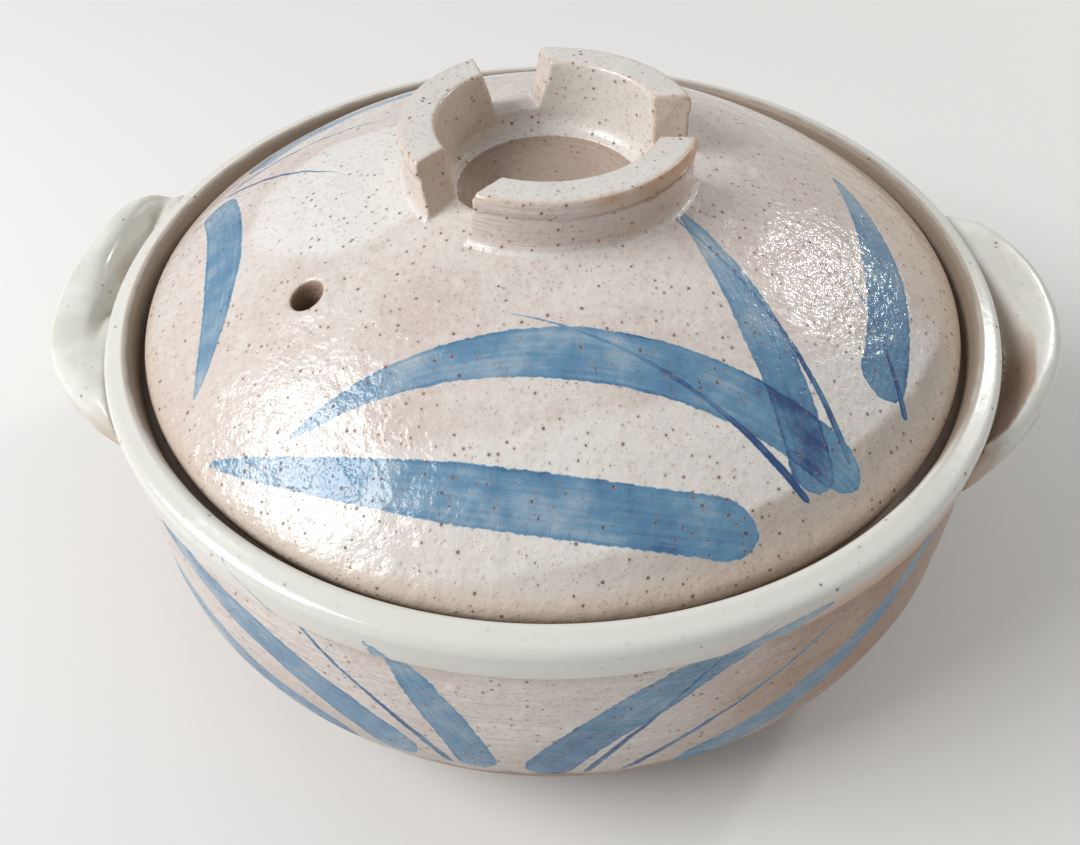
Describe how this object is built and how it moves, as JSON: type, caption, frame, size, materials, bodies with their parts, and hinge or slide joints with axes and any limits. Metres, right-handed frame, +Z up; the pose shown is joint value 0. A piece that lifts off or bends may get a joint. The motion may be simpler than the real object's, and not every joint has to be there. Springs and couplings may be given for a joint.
{
  "type": "donabe clay pot",
  "caption": "Round clay cooking pot with ear handles and a domed lid that lifts off by a notched ring knob; a small hole in the lid lets steam out.",
  "frame": {"origin": "centre of the bounding box at the base: on the pot's round axis, on the surface that the foot ring rests on", "axes": "+Z up along the axis on which the bowl and the lid were thrown, +X through the right handle as the picture shows it, +Y away from the viewer"},
  "size_m": [0.3328, 0.2868, 0.1609],
  "materials": {
    "bowl_glaze": "gloss",
    "handle_glaze": "gloss",
    "lid_glaze": "gloss",
    "knob_glaze": "satin"
  },
  "bodies": {
    "pot": {"pot_body": "bowl_glaze", "left_handle": "handle_glaze", "right_handle": "handle_glaze"},
    "lid": {"lid_dome": "lid_glaze", "knob_ring": "knob_glaze"}
  },
  "joints": [
    {"name": "lid_lift", "type": "slide", "parent": "pot", "child": "lid", "axis": [0, 0, 1], "range_m": [0, 0.12]}
  ]
}
